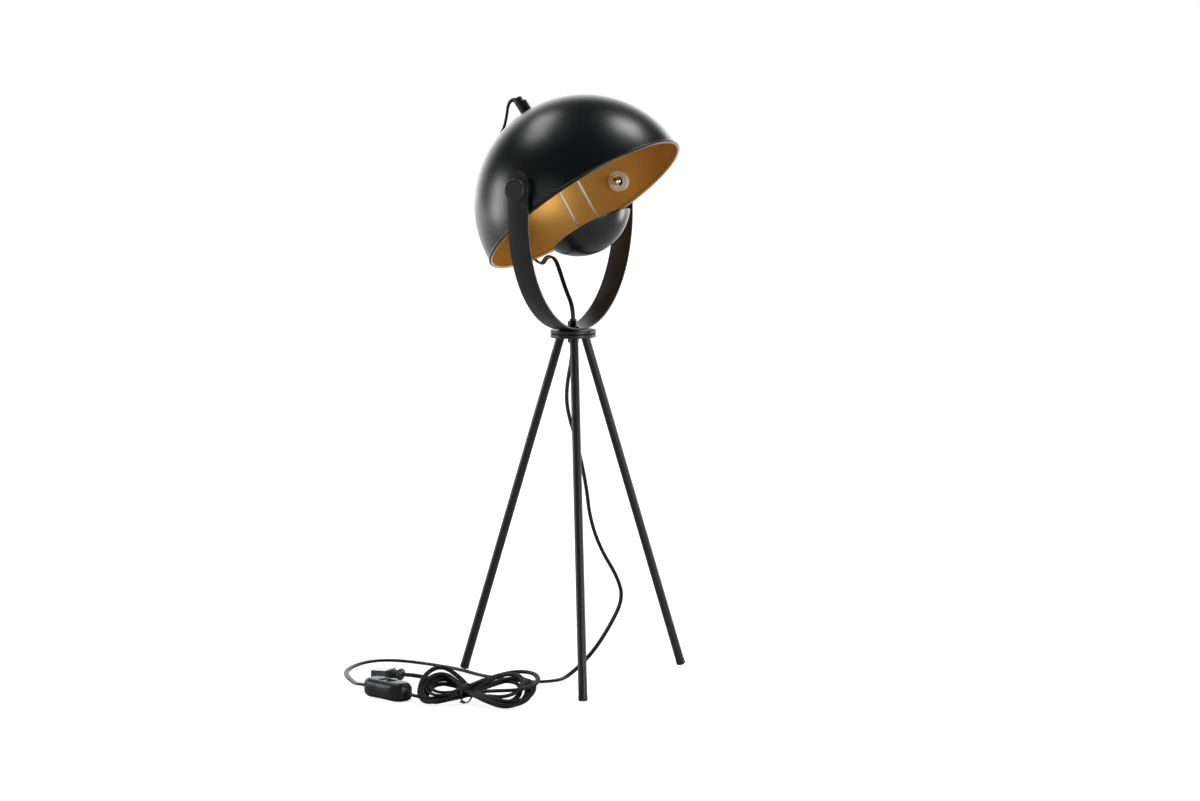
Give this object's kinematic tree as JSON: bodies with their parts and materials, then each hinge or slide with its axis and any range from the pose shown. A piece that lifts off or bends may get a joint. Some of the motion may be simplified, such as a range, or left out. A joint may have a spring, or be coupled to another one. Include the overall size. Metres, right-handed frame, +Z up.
{
  "type": "tabletop searchlight lamp",
  "caption": "Tripod table lamp with a tilting hemispherical shade in a strap yoke, an anti-glare bowl, a screw lampholder and a corded inline switch.",
  "frame": {"origin": "middle of the lamp's footprint box on the table, without its cord", "axes": "+Z up, the shade looks towards -Y and down, X along the shade's pivot"},
  "size_m": [0.3527, 0.3727, 0.6432],
  "materials": {
    "powder_black": "matt, fine-textured black powder coat",
    "shade_paint": "satin black outside, satin gold inside",
    "bowl_paint": "satin black",
    "nickel_steel": "nickel-plated",
    "chrome": "polished",
    "knob_plastic": "smooth satin",
    "foot_plastic": "matt",
    "nylon": "moulded satin",
    "phenolic": "moulded phenolic",
    "porcelain": "glazed insulator",
    "brass": "pressed",
    "cord_pvc": "flat twin PVC sheath",
    "switch_abs": "fine satin",
    "plug_pvc": "moulded PVC",
    "cover_plastic": "smoky grey",
    "tie_plastic": "soft band"
  },
  "bodies": {
    "base": {"leg_plate": "powder_black", "friction_washer": "nylon", "hub_nipple": "nickel_steel", "upper_washer": "powder_black", "upper_nut": "powder_black", "lower_washer": "powder_black", "lower_nut": "powder_black", "leg_rear": "powder_black", "leg_front_left": "powder_black", "leg_front_right": "powder_black", "foot_cap_rear": "foot_plastic", "foot_cap_front_left": "foot_plastic", "foot_cap_front_right": "foot_plastic", "lower_cable": "cord_pvc", "switch_lower_case": "switch_abs", "switch_upper_case": "switch_abs", "switch_screws": "nickel_steel", "switch_lead": "cord_pvc", "cord_hank": "cord_pvc", "hank_tie": "tie_plastic", "plug_lead": "cord_pvc", "plug_body": "plug_pvc", "plug_blades": "brass", "blade_cover": "cover_plastic"},
    "yoke": {"swivel_plate": "powder_black", "yoke": "powder_black", "knob_washers": "knob_plastic", "upper_cable": "cord_pvc"},
    "shade": {"shade": "shade_paint", "pivot_spacers": "powder_black", "pivot_studs": "nickel_steel", "inner_washers": "nickel_steel", "cap_nuts": "chrome", "lampholder_cap": "phenolic", "lampholder_core": "porcelain", "lampholder_skirt": "phenolic", "screw_shell": "brass", "centre_contact": "brass", "clamp_ring": "phenolic", "bracket_ring": "powder_black", "bracket_wire": "nickel_steel", "anti_glare_bowl": "bowl_paint", "cord_grip": "nylon", "cord_grip_clamp": "nylon"},
    "knob_left": {"knob_left": "knob_plastic"},
    "knob_right": {"knob_right": "knob_plastic"},
    "rocker": {"switch_rocker": "switch_abs"}
  },
  "joints": [
    {"name": "yoke_swivel", "type": "hinge", "parent": "base", "child": "yoke", "pos_m": [0, -0.01558, 0.3845], "axis": [0, 0, 1], "range_deg": [-170, 170]},
    {"name": "shade_tilt", "type": "hinge", "parent": "yoke", "child": "shade", "pos_m": [0, -0.01558, 0.54444], "axis": [-1, 0, 0], "range_deg": [-35, 90], "deforming": ["upper_cable"]},
    {"name": "knob_left_turn", "type": "hinge", "parent": "shade", "child": "knob_left", "pos_m": [-0.132, -0.01558, 0.54444], "axis": [-1, 0, 0], "range_deg": [0, 180]},
    {"name": "knob_right_turn", "type": "hinge", "parent": "shade", "child": "knob_right", "pos_m": [0.132, -0.01558, 0.54444], "axis": [1, 0, 0], "range_deg": [0, 180]},
    {"name": "switch_rock", "type": "hinge", "parent": "base", "child": "rocker", "pos_m": [-0.19031, 0.11398, 0.014], "axis": [0.9291, -0.3697, 0], "range_deg": [0, 16]}
  ]
}
